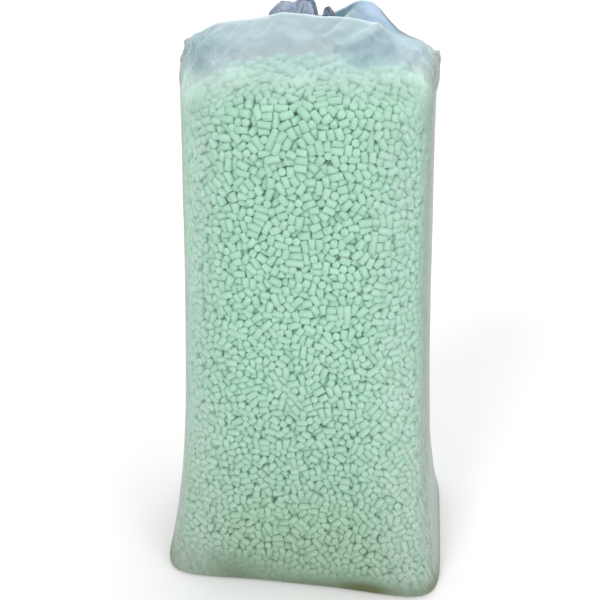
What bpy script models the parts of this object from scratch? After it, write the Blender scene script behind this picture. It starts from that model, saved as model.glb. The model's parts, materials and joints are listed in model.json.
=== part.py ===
# Clear film bag of packing peanuts: a tall pillow of thin film, packed with short rods of
# starch foam, standing on its own flat base and gathered into a tied neck with a ruffled tail.
# Metres, +Z up. The origin is on the floor under the middle of the bag, and the front faces -Y.

import math
import random

import bmesh
import bpy
from mathutils import Matrix, Vector

# Filled body of the bag
BODY_HEIGHT = 1.06
SHOULDER_WIDTH = 0.490
SHOULDER_DEPTH = 0.418
BELLY_WIDTH = 0.074
BELLY_DEPTH = 0.012
CORNER_FLARE = 0.078
BASE_FLARE = 0.026
FLARE_HEIGHT = 0.16
BODY_LEAN = 0.010

# How square the section is, as a superellipse exponent, at the shoulder and on the floor
SHOULDER_SQUARENESS = 2.5
BASE_SQUARENESS = 7.0
SQUARENESS_HEIGHT = 0.22

# Floor corners, which stand a little forward of the middle of the base
CORNER_PUSH = 0.095
BASE_EDGE_INSET = 0.011
BASE_EDGE_HEIGHT = 0.024

# Film and the clearance that touching pieces keep
FILM_WALL = 0.0008
FIT_GAP = 0.0003

# Empty film above the fill: it rises to a crest that runs round the top, then dips to the neck
CREST_RISE = 0.146
CREST_HALF_WIDTH = 0.246
CREST_HALF_DEPTH = 0.092
LEFT_SHOULDER_DROP = 0.062
RIGHT_SHOULDER_DROP = 0.072
SHOULDER_CURVE = 2.3
BACK_CREST_DROP = 0.022
PEAK_RISE = 0.034
PEAK_ANGLE = math.radians(66)
PEAK_SPREAD = math.radians(15)
CREST_GATHER = 0.020
CREST_RIPPLE = 0.0022
PANEL_UPRIGHT = 0.55
VALLEY_REACH = 0.6
VALLEY_DEPTH = 0.004

# Gathered neck, which dips below the crest, with its pleats and the tie round it
NECK_X = 0.020
NECK_DIP = 0.046
NECK_RADIUS = 0.013
PLEATS = 11
LOOSE_FOLDS = 7
LOOSE_FOLD_SHARE = 0.55
PLEAT_HEIGHT = 0.010
NECK_PLEAT = 0.0012
TIE_WIDTH = 0.005
TIE_THICKNESS = 0.0022
TIE_SIDES = 24

# Ruffled tail above the tie: a wide tuft on the left, a notch and a small tuft on the right.
# It bellies out past its open edge, by a share of the edge's reach, low above the tie
TAIL_LENGTH = 0.056
TAIL_BELLY = 2.0
TAIL_BELLY_HEIGHT = 0.35
LEFT_TUFT_REACH = 0.074
RIGHT_TUFT_REACH = 0.020
RIGHT_TUFT_DROP = 0.008
TAIL_DEPTH = 0.017
RUFFLE = 0.16
NOTCH_OFFSET = -0.002
NOTCH_DEPTH = 0.040
NOTCH_WIDTH = 0.008
SIDE_DROP = 0.006

# Packed fill: its crown, its fall to the left and the relief that its peanuts give it
FILL_SHOULDER_DROP = 0.007
FILL_CROWN = 0.052
FILL_TILT = 0.010
CROWN_ROUNDNESS = 4
SIDE_RELIEF = 0.009
TOP_RELIEF = 0.003
RELIEF_SEED = 15

# One peanut, and the loose ones that lie on top of the fill
PEANUT_DIAMETER = 0.015
PEANUT_LENGTHS = (0.018, 0.0215, 0.026)
PEANUT_EDGE = 0.0014
PEANUT_SIDES = 8
LOOSE_PEANUTS = 48
LOOSE_REACH = 0.80
LOOSE_SEED = 4
NEST_DEPTH = 0.0055

# Fineness of the meshes
BAG_STEPS = 64
FILL_LEVELS = 20
BODY_LEVELS = (0.10, 0.20, 0.34, 0.52, 0.74)
EDGE_STEPS = 3
PANEL_STEPS = 4
VALLEY_STEPS = 4
TAIL_STEPS = 3
FILL_CROWN_RINGS = (0.975, 0.92, 0.80, 0.62, 0.42, 0.20)
SLOPE_STEP = 0.04
FILM_SHARP_ANGLE = 50
PEANUT_SHARP_ANGLE = 30
TIE_SHARP_ANGLE = 40


def clear_scene():
    for existing in list(bpy.data.objects):
        bpy.data.objects.remove(existing, do_unlink=True)


def principled(name, color, roughness, alpha=1.0):
    material = bpy.data.materials.new(name)
    material.use_nodes = True
    shader = material.node_tree.nodes["Principled BSDF"]
    shader.inputs["Base Color"].default_value = (*color, 1.0)
    shader.inputs["Roughness"].default_value = roughness
    shader.inputs["Metallic"].default_value = 0.0
    shader.inputs["Alpha"].default_value = alpha
    material.diffuse_color = (*color, alpha)
    return material


def add_object(name, mesh, parent=None):
    created = bpy.data.objects.new(name, mesh)
    bpy.context.scene.collection.objects.link(created)
    created.parent = parent
    return created


def shade(mesh, sharp_angle):
    mesh.shade_smooth()
    mesh.set_sharp_from_angle(angle=math.radians(sharp_angle))


def signed_power(value, exponent):
    return math.copysign(abs(value) ** exponent, value)


def lean(z):
    # The base stands on the middle of the floor, and the body drifts to the left above it
    return -BODY_LEAN * (1.0 - (1.0 - min(z / BODY_HEIGHT, 1.0)) ** 2)


def section(angle, z, inset=0.0, scale=1.0):
    # One point of the level section of the body at height z, moved in from the film's face
    taper = 1.0 - z / BODY_HEIGHT
    flare = math.exp(-z / FLARE_HEIGHT)
    half_width = (SHOULDER_WIDTH + BELLY_WIDTH * taper + CORNER_FLARE * flare) / 2 - inset
    half_depth = (SHOULDER_DEPTH + BELLY_DEPTH * taper + BASE_FLARE * flare) / 2 - inset
    squareness = math.exp(-z / SQUARENESS_HEIGHT)
    squareness = SHOULDER_SQUARENESS + (BASE_SQUARENESS - SHOULDER_SQUARENESS) * squareness
    across = signed_power(math.cos(angle), 2.0 / squareness)
    along = signed_power(math.sin(angle), 2.0 / squareness)
    push = 1.0 + CORNER_PUSH * flare * across ** 2
    x = lean(z) + scale * half_width * across
    y = scale * half_depth * along * push
    return Vector((x, y, z))


def crest(angle):
    # The highest line of the empty film, from the shoulders at both sides to the front and back
    side = math.cos(angle)
    shoulder_drop = RIGHT_SHOULDER_DROP if side > 0.0 else LEFT_SHOULDER_DROP
    peak = math.exp(-((angle - PEAK_ANGLE) / PEAK_SPREAD) ** 2)
    z = BODY_HEIGHT + CREST_RISE - shoulder_drop * abs(side) ** SHOULDER_CURVE
    z -= BACK_CREST_DROP * max(0.0, math.sin(angle))
    z += PEAK_RISE * peak + CREST_RIPPLE * folds(angle)
    x = lean(BODY_HEIGHT) + CREST_HALF_WIDTH * side
    y = CREST_HALF_DEPTH * math.sin(angle) * (1.0 + CREST_GATHER * folds(angle))
    return Vector((x, y, z))


def neck_height():
    return BODY_HEIGHT + CREST_RISE - NECK_DIP


def neck_centre(z):
    return Vector((lean(BODY_HEIGHT) + NECK_X, 0.0, z))


def folds(angle):
    # Even pleats with a second set of looser folds between them
    return math.cos(PLEATS * angle) + LOOSE_FOLD_SHARE * math.sin(LOOSE_FOLDS * angle)


def neck(angle, z):
    radius = NECK_RADIUS + NECK_PLEAT * math.cos(PLEATS * angle)
    offset = Vector((math.cos(angle), math.sin(angle), 0.0)) * radius
    return neck_centre(z) + offset


def tail_mouth(angle):
    # The open edge of the tail, seen from above a flat oval with ruffles
    side = math.cos(angle)
    reach = RIGHT_TUFT_REACH if side > 0.0 else LEFT_TUFT_REACH
    ruffle = 1.0 + RUFFLE * math.cos(PLEATS * angle)
    x = reach * side
    y = TAIL_DEPTH * math.sin(angle) * ruffle
    notch = math.exp(-((x - NOTCH_OFFSET) / NOTCH_WIDTH) ** 2)
    z = neck_height() + TIE_WIDTH + TAIL_LENGTH - NOTCH_DEPTH * notch
    z -= SIDE_DROP * side ** 4 + (RIGHT_TUFT_DROP if x > NOTCH_OFFSET else 0.0)
    return neck_centre(0.0) + Vector((x, y, z))


def bezier(start, control, end, t):
    return start * (1 - t) ** 2 + control * (2 * t * (1 - t)) + end * t ** 2


def angles(steps):
    # Half a step of offset keeps the points symmetrical about both axes, with none at a corner
    return [2 * math.pi * (step + 0.5) / steps for step in range(steps)]


def steps_of(count):
    return [(step + 1) / count for step in range(count)]


def base_edge_rings(inset=0.0, floor=0.0):
    # The rounded lower edge, from the flat of the base to the upright wall
    rings = []
    for part in [0.0] + steps_of(EDGE_STEPS):
        turn = part * math.pi / 2
        edge_inset = inset + BASE_EDGE_INSET * (1.0 - math.sin(turn))
        z = floor + BASE_EDGE_HEIGHT * (1.0 - math.cos(turn))
        rings.append(lambda angle, z=z, edge=edge_inset: section(angle, z, edge))
    return rings


def panel_ring(t):
    # Film between the body and the crest, upright at first and then leaning in
    def point(angle):
        start = section(angle, BODY_HEIGHT)
        end = crest(angle)
        upright = BODY_HEIGHT + (end.z - BODY_HEIGHT) * PANEL_UPRIGHT
        control = Vector((start.x, start.y, upright))
        return bezier(start, control, end, t)
    return point


def valley_ring(t, neck_foot):
    # Film between the crest and the neck, where the pleats run together
    def point(angle):
        start = crest(angle)
        end = neck(angle, neck_foot)
        control = start.lerp(end, VALLEY_REACH)
        control.z = min(start.z, end.z) - VALLEY_DEPTH
        place = bezier(start, control, end, t)
        place.z += PLEAT_HEIGHT * math.sin(math.pi * t) * folds(angle)
        return place
    return point


def tail_ring(t, neck_top):
    def point(angle):
        start = neck(angle, neck_top)
        end = tail_mouth(angle)
        centre = neck_centre(start.z)
        control = centre + Vector((end.x - centre.x, end.y, 0.0)) * TAIL_BELLY
        control.z = start.lerp(end, TAIL_BELLY_HEIGHT).z
        return bezier(start, control, end, t)
    return point


def film_rings():
    neck_foot = neck_height() - TIE_WIDTH
    neck_top = neck_height() + TIE_WIDTH
    rings = base_edge_rings()
    for share in BODY_LEVELS:
        z = BASE_EDGE_HEIGHT + (BODY_HEIGHT - BASE_EDGE_HEIGHT) * share
        rings.append(lambda angle, z=z: section(angle, z))
    rings.append(lambda angle: section(angle, BODY_HEIGHT))
    rings += [panel_ring(t) for t in steps_of(PANEL_STEPS)]
    rings += [valley_ring(t, neck_foot) for t in steps_of(VALLEY_STEPS)]
    rings.append(lambda angle: neck(angle, neck_top))
    rings += [tail_ring(t, neck_top) for t in steps_of(TAIL_STEPS)]
    return rings


def loft(rings, steps, close_top=False):
    # Skins a list of ring functions, from the base upwards, and closes the base with one flat face
    work = bmesh.new()
    loops = []
    for ring in rings:
        loops.append([work.verts.new(ring(angle)) for angle in angles(steps)])
    work.faces.new(list(reversed(loops[0])))
    for lower, upper in zip(loops, loops[1:]):
        for step in range(steps):
            following = (step + 1) % steps
            work.faces.new((lower[step], lower[following], upper[following], upper[step]))
    if close_top:
        middle = sum((vert.co for vert in loops[-1]), Vector()) / steps
        summit = work.verts.new(middle)
        for step in range(steps):
            following = (step + 1) % steps
            work.faces.new((loops[-1][step], loops[-1][following], summit))
    return work


def finish_mesh(work, name):
    mesh = bpy.data.meshes.new(name)
    work.to_mesh(mesh)
    work.free()
    return mesh


def make_film_bag(parent, material):
    mesh = finish_mesh(loft(film_rings(), BAG_STEPS), "film_bag")
    mesh.materials.append(material)
    shade(mesh, FILM_SHARP_ANGLE)
    bag = add_object("film_bag", mesh, parent)
    wall = bag.modifiers.new("film_wall", "SOLIDIFY")
    wall.thickness = FILM_WALL
    wall.offset = -1.0
    wall.use_even_offset = True
    wall.use_rim = True
    return bag


def fill_top(ring_share, angle):
    # Smooth top of the fill, from the wall, where ring_share is 1, to the middle
    inset = FILM_WALL + FIT_GAP
    place = section(angle, BODY_HEIGHT, inset, ring_share)
    crown = 1.0 - ring_share ** CROWN_ROUNDNESS
    sideways = (place.x - lean(BODY_HEIGHT)) / (SHOULDER_WIDTH / 2)
    place.z = fill_shoulder() + (FILL_CROWN + FILL_TILT * sideways) * crown
    return place


def fill_shoulder():
    return BODY_HEIGHT - FILL_SHOULDER_DROP


def fill_rings():
    inset = FILM_WALL + FIT_GAP
    rings = base_edge_rings(inset, inset)
    low = inset + BASE_EDGE_HEIGHT
    for share in steps_of(FILL_LEVELS):
        z = low + (fill_shoulder() - low) * share
        rings.append(lambda angle, z=z: section(angle, z, inset))
    for share in FILL_CROWN_RINGS:
        rings.append(lambda angle, share=share: fill_top(share, angle))
    return rings


def roughen_fill(work):
    # Sinks each point of the side and top by its own amount, so that the heap reads as grains
    picker = random.Random(RELIEF_SEED)
    axis = neck_centre(0.0)
    for vert in work.verts:
        if vert.co.z < BASE_EDGE_HEIGHT:
            continue
        if vert.co.z > fill_shoulder():
            vert.co.z -= picker.uniform(0.0, TOP_RELIEF)
            continue
        inward = Vector((axis.x - vert.co.x, -vert.co.y, 0.0)).normalized()
        vert.co += inward * picker.uniform(0.0, SIDE_RELIEF)


def peanut_rod(length, growth=0.0):
    # A short rod along X, grown by a clearance where it is to cut a nest
    work = bmesh.new()
    radius = PEANUT_DIAMETER / 2 + growth
    turn = Matrix.Rotation(math.pi / 2, 4, "Y")
    bmesh.ops.create_cone(work, cap_ends=True, segments=PEANUT_SIDES, radius1=radius,
                          radius2=radius, depth=length + 2 * growth, matrix=turn)
    return work


def peanut_mesh(name, length):
    work = peanut_rod(length)
    rims = [edge for edge in work.edges if abs(edge.verts[0].co.x - edge.verts[1].co.x) < 1e-6]
    bmesh.ops.bevel(work, geom=rims, offset=PEANUT_EDGE, segments=1, affect="EDGES")
    return finish_mesh(work, name)


def loose_places():
    # Spreads the loose peanuts over the top like the seeds of a sunflower, each lying its own way
    picker = random.Random(LOOSE_SEED)
    golden_angle = math.pi * (3.0 - math.sqrt(5.0))
    places = []
    for index in range(LOOSE_PEANUTS):
        share = LOOSE_REACH * math.sqrt((index + 0.5) / LOOSE_PEANUTS)
        angle = index * golden_angle
        middle = fill_top(share, angle)
        outward = fill_top(share + SLOPE_STEP, angle) - fill_top(share - SLOPE_STEP, angle)
        sideways = fill_top(share, angle + SLOPE_STEP) - fill_top(share, angle - SLOPE_STEP)
        normal = outward.cross(sideways).normalized()
        heading = picker.uniform(0.0, math.pi)
        along = (outward.normalized() * math.cos(heading) + sideways.normalized() * math.sin(heading))
        along = (along - normal * along.dot(normal)).normalized()
        across = normal.cross(along)
        height = normal * (PEANUT_DIAMETER / 2 - NEST_DEPTH)
        rotation = Matrix((along, across, normal)).transposed().to_4x4()
        size = picker.randrange(len(PEANUT_LENGTHS))
        places.append((Matrix.Translation(middle + height) @ rotation, size))
    return places


def make_nest_cutter(places):
    # The loose peanuts, grown by the clearance, as one cutter for their nests
    work = bmesh.new()
    for matrix, size in places:
        grown = finish_mesh(peanut_rod(PEANUT_LENGTHS[size], FIT_GAP), "nest")
        grown.transform(matrix)
        work.from_mesh(grown)
        bpy.data.meshes.remove(grown)
    cutter = add_object("nest_cutter", finish_mesh(work, "nest_cutter"))
    cutter.hide_render = True
    cutter.display_type = "WIRE"
    return cutter


def make_peanut_fill(parent, material, places):
    work = loft(fill_rings(), BAG_STEPS, close_top=True)
    roughen_fill(work)
    mesh = finish_mesh(work, "peanut_fill")
    mesh.materials.append(material)
    fill = add_object("peanut_fill", mesh, parent)
    nests = fill.modifiers.new("nests", "BOOLEAN")
    nests.operation = "DIFFERENCE"
    nests.solver = "EXACT"
    nests.object = make_nest_cutter(places)
    return fill


def make_loose_peanuts(parent, material, places):
    meshes = []
    for index, length in enumerate(PEANUT_LENGTHS):
        mesh = peanut_mesh("peanut_size_{}".format(index + 1), length)
        mesh.materials.append(material)
        shade(mesh, PEANUT_SHARP_ANGLE)
        meshes.append(mesh)
    for number, (matrix, size) in enumerate(places, start=1):
        peanut = add_object("peanut_{:02d}".format(number), meshes[size], parent)
        peanut.matrix_local = matrix


def make_neck_tie(parent, material):
    # A plain band round the gathered neck, turned from its section
    inner = NECK_RADIUS + NECK_PLEAT + FIT_GAP
    outer = inner + TIE_THICKNESS
    half = TIE_WIDTH / 2
    ease = TIE_THICKNESS / 4
    profile = [(inner, -half + ease), (inner + ease, -half), (outer - ease, -half),
               (outer, -half + ease), (outer, half - ease), (outer - ease, half),
               (inner + ease, half), (inner, half - ease)]
    work = bmesh.new()
    loops = []
    for step in range(TIE_SIDES):
        angle = 2 * math.pi * step / TIE_SIDES
        loops.append([work.verts.new((r * math.cos(angle), r * math.sin(angle), z)) for r, z in profile])
    for step in range(TIE_SIDES):
        here = loops[step]
        there = loops[(step + 1) % TIE_SIDES]
        for corner in range(len(profile)):
            following = (corner + 1) % len(profile)
            work.faces.new((here[corner], there[corner], there[following], here[following]))
    mesh = finish_mesh(work, "neck_tie")
    mesh.materials.append(material)
    shade(mesh, TIE_SHARP_ANGLE)
    tie = add_object("neck_tie", mesh, parent)
    tie.location = neck_centre(neck_height())
    return tie


def main():
    clear_scene()
    film = principled("clear_film", (0.72, 0.80, 0.83), 0.22, alpha=0.3)
    starch = principled("mint_starch", (0.40, 0.66, 0.50), 0.85)
    band = principled("tie_plastic", (0.78, 0.80, 0.80), 0.45)
    packing_peanut_bag = add_object("packing_peanut_bag", None)
    places = loose_places()
    make_film_bag(packing_peanut_bag, film)
    make_peanut_fill(packing_peanut_bag, starch, places)
    make_loose_peanuts(packing_peanut_bag, starch, places)
    make_neck_tie(packing_peanut_bag, band)


main()
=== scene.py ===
# Clear film bag of mint green packing peanuts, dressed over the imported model
import json
import math

import bpy
import numpy as np
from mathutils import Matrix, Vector, noise

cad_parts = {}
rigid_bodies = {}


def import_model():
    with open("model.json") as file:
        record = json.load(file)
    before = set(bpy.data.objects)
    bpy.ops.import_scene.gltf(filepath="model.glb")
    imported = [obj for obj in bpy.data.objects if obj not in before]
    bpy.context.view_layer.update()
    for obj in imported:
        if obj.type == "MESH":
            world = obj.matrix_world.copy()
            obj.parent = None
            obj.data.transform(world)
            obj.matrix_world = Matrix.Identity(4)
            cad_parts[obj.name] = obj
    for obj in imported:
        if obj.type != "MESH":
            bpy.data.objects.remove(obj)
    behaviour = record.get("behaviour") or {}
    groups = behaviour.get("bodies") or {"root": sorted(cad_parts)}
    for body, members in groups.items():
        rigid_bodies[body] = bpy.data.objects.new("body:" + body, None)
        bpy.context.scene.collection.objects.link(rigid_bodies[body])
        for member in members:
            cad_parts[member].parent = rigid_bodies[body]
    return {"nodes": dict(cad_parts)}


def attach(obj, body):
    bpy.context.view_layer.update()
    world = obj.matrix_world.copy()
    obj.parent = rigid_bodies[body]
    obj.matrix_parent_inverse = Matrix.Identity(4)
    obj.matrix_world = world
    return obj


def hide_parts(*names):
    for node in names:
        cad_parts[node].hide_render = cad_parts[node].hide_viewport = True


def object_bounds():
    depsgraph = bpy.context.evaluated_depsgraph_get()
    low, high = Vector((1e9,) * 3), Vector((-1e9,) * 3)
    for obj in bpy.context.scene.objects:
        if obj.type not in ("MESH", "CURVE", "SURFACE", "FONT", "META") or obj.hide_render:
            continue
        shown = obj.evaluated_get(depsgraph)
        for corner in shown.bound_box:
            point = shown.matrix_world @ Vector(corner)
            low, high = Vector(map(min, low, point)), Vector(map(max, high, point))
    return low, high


for leftover in list(bpy.data.objects):
    bpy.data.objects.remove(leftover, do_unlink=True)
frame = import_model()
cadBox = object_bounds()
nodes = frame["nodes"]
loosePeanuts = sorted(name for name in nodes
                      if name.startswith("peanut_") and name != "peanut_fill")
print("frame loaded:", len(nodes), "nodes,", len(loosePeanuts), "loose peanuts")


# Small helpers

def deselectAll():
    if bpy.context.object and bpy.context.object.mode != "OBJECT":
        bpy.ops.object.mode_set(mode="OBJECT")
    bpy.ops.object.select_all(action="DESELECT")


def smoothstep(low, high, value):
    share = np.clip((value - low) / (high - low), 0.0, 1.0)
    return share * share * (3.0 - 2.0 * share)


def unit(vectors):
    return vectors / np.maximum(np.linalg.norm(vectors, axis=-1, keepdims=True), 1e-12)


def signedPower(value, exponent):
    return np.sign(value) * np.abs(value) ** exponent


def buildMesh(name, points, faces, attributes=()):
    # faces is a list of arrays, each of faces with the same number of corners
    mesh = bpy.data.meshes.new(name)
    corners = np.concatenate([group.ravel() for group in faces]).astype(np.int32)
    sizes = np.concatenate([np.full(len(group), group.shape[1]) for group in faces])
    starts = np.concatenate([[0], np.cumsum(sizes)[:-1]]).astype(np.int32)
    mesh.vertices.add(len(points))
    mesh.loops.add(len(corners))
    mesh.polygons.add(len(sizes))
    mesh.vertices.foreach_set("co", np.asarray(points, np.float32).ravel())
    mesh.loops.foreach_set("vertex_index", corners)
    mesh.polygons.foreach_set("loop_start", starts)
    mesh.update(calc_edges=True)
    for label, values in attributes:
        layer = mesh.attributes.new(label, "FLOAT", "POINT")
        layer.data.foreach_set("value", np.asarray(values, np.float32).ravel())
    mesh.validate()
    return mesh


def addPiece(name, mesh, material):
    piece = bpy.data.objects.new(name, mesh)
    bpy.context.scene.collection.objects.link(piece)
    mesh.materials.clear()
    mesh.materials.append(material)
    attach(piece, "root")
    return piece


# Shape of the filled bag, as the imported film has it, in metres

bag = {
    "bodyHeight": 1.06,
    "shoulderWidth": 0.490,
    "shoulderDepth": 0.418,
    "bellyWidth": 0.074,
    "bellyDepth": 0.012,
    "cornerFlare": 0.078,
    "baseFlare": 0.026,
    "flareHeight": 0.16,
    "bodyLean": 0.010,
    "shoulderSquareness": 2.5,
    "baseSquareness": 7.0,
    "squarenessHeight": 0.22,
    "cornerPush": 0.095,
    "edgeInset": 0.011,
    "edgeHeight": 0.024,
    "filmWall": 0.0008,
    "fitGap": 0.0003,
    "shoulderRound": 0.007,
    "fillCrown": 0.052,
    "fillTilt": 0.010,
    "crownPower": 4,
    "crownReach": 1.15,
    "sideReach": 0.25,
}


def bodyLean(z):
    return -bag["bodyLean"] * (1.0 - (1.0 - np.minimum(z / bag["bodyHeight"], 1.0)) ** 2)


def sectionSizes(z, inset):
    # Half width, half depth, squareness and corner push of the level section at height z
    taper = 1.0 - z / bag["bodyHeight"]
    flare = np.exp(-z / bag["flareHeight"])
    turn = np.arccos(np.clip(1.0 - np.clip(z, 0.0, None) / bag["edgeHeight"], 0.0, 1.0))
    inset = inset + bag["edgeInset"] * (1.0 - np.sin(turn))
    width = bag["shoulderWidth"] + bag["bellyWidth"] * taper + bag["cornerFlare"] * flare
    depth = bag["shoulderDepth"] + bag["bellyDepth"] * taper + bag["baseFlare"] * flare
    halfWidth, halfDepth = width / 2 - inset, depth / 2 - inset
    boxy = np.exp(-z / bag["squarenessHeight"])
    added = bag["baseSquareness"] - bag["shoulderSquareness"]
    squareness = bag["shoulderSquareness"] + added * boxy
    return halfWidth, halfDepth, squareness, bag["cornerPush"] * flare


def bodyPoint(angle, z, inset=0.0, scale=1.0):
    halfWidth, halfDepth, squareness, push = sectionSizes(z, inset)
    across = signedPower(np.cos(angle), 2.0 / squareness)
    along = signedPower(np.sin(angle), 2.0 / squareness)
    x = bodyLean(z) + scale * halfWidth * across
    y = scale * halfDepth * along * (1.0 + push * across ** 2)
    return np.stack([x, y, z + 0.0 * x], axis=-1)


def fillWalls(points):
    # How far each point is inside the side, the floor and the top of the fill, roughly in metres
    inset = bag["filmWall"] + bag["fitGap"]
    x, y, z = points.T
    halfWidth, halfDepth, squareness, push = sectionSizes(np.clip(z, 0.0, bag["bodyHeight"]), inset)
    across = (x - bodyLean(z)) / halfWidth
    along = y / (halfDepth * (1.0 + push * np.minimum(across ** 2, 1.0)))
    ratio = np.abs(across) ** squareness + np.abs(along) ** squareness + 1e-12
    ratio = ratio ** (1.0 / squareness)
    sideways = across * halfWidth / (bag["shoulderWidth"] / 2)
    crown = 1.0 - np.minimum(ratio, bag["crownReach"]) ** bag["crownPower"]
    top = bag["bodyHeight"] - bag["shoulderRound"]
    top = top + (bag["fillCrown"] + bag["fillTilt"] * sideways) * crown
    return np.stack([(1.0 - ratio) * bag["sideReach"], z - inset, top - z])


def depthInFill(points):
    # Distance to the nearest wall of the fill, and the direction away from that wall
    step = 1e-4
    here = fillWalls(points)
    slopes = np.stack([(fillWalls(points + offset) - here) / step
                       for offset in np.eye(3) * step], axis=-1)
    steepness = np.maximum(np.linalg.norm(slopes, axis=-1), 1e-6)
    distances = here / steepness
    nearest = distances.argmin(axis=0)
    rows = np.arange(len(points))
    return distances[nearest, rows], unit(slopes[nearest, rows])


# The heap: rods that settle against the film. Only the outer layers are there, round a plain core

heap = {
    "peanutDiameter": 0.015,
    "diameterSpread": 0.035,
    "lengths": (0.0175, 0.0275),
    "longShare": 0.025,
    "longLengths": (0.034, 0.043),
    "shellDepth": 0.037,
    "seenDepth": 0.0170,
    "gapShadeDepth": 0.03,
    "fullness": 0.66,
    "tries": 120000,
    "rounds": 140,
    "draftRounds": 45,
    "looseRounds": 30,  # the last ones, with no press towards the film
    "pairEvery": 4,
    "pairReach": 2.4,  # in radii
    "ballInset": 0.88,  # in radii, from the end of a rod to its outer balls
    "shortestArm": 0.001,
    "press": 0.0006,
    "ease": 1.5,
    "crowding": 0.75,
    "endOnShare": 0.16,
    "settleTurn": 0.06,
    "turnDepth": 0.02,
    "edgeRound": 0.0013,
    "edgeReach": 0.6,
    "filmGap": 0.0002,
    "pullGap": 0.0001,
    "longestPull": 0.01,
    "seed": 11,
}


def looseRods():
    # Middle, direction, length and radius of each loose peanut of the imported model
    middles, directions, lengths, radii = [], [], [], []
    for name in loosePeanuts:
        data = nodes[name].data
        points = np.zeros(len(data.vertices) * 3)
        data.vertices.foreach_get("co", points)
        points = np.unique(points.reshape(-1, 3).round(6), axis=0)
        middle = points.mean(axis=0)
        values, vectors = np.linalg.eigh(np.cov((points - middle).T))
        gaps = np.abs(np.diff(values))
        direction = vectors[:, 2] if gaps[1] > gaps[0] else vectors[:, 0]
        reach = (points - middle) @ direction
        aside = np.linalg.norm((points - middle) - reach[:, None] * direction, axis=1)
        middles.append(middle)
        directions.append(direction)
        lengths.append(reach.max() - reach.min())
        radii.append(aside.max())
    return np.array(middles), np.array(directions), np.array(lengths), np.array(radii)


def nearPairs(points, reach):
    # All pairs of points closer than reach, found by sorting the points into cells
    cell = np.floor((points - points.min(axis=0)) / reach).astype(np.int64) + 1
    width = cell.max(axis=0) + 2
    key = (cell[:, 0] * width[1] + cell[:, 1]) * width[2] + cell[:, 2]
    order = np.argsort(key, kind="stable")
    sortedKeys = key[order]
    first, second = [], []
    offsets = [(i, j, k) for i in (-1, 0, 1) for j in (-1, 0, 1) for k in (-1, 0, 1)]
    for i, j, k in offsets[13:]:
        wanted = sortedKeys + (i * width[1] + j) * width[2] + k
        low = np.searchsorted(sortedKeys, wanted, "left")
        high = np.searchsorted(sortedKeys, wanted, "right")
        if (i, j, k) == (0, 0, 0):
            low = np.arange(len(points)) + 1
        count = np.maximum(high - low, 0)
        starts = np.repeat(low - np.concatenate([[0], np.cumsum(count)[:-1]]), count)
        first.append(order[np.repeat(np.arange(len(points)), count)])
        second.append(order[starts + np.arange(count.sum())])
    first, second = np.concatenate(first), np.concatenate(second)
    close = np.linalg.norm(points[first] - points[second], axis=1) < reach
    return first[close], second[close]


def sumOver(index, values, count):
    return np.stack([np.bincount(index, values[:, axis], count) for axis in range(3)], axis=1)


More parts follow.
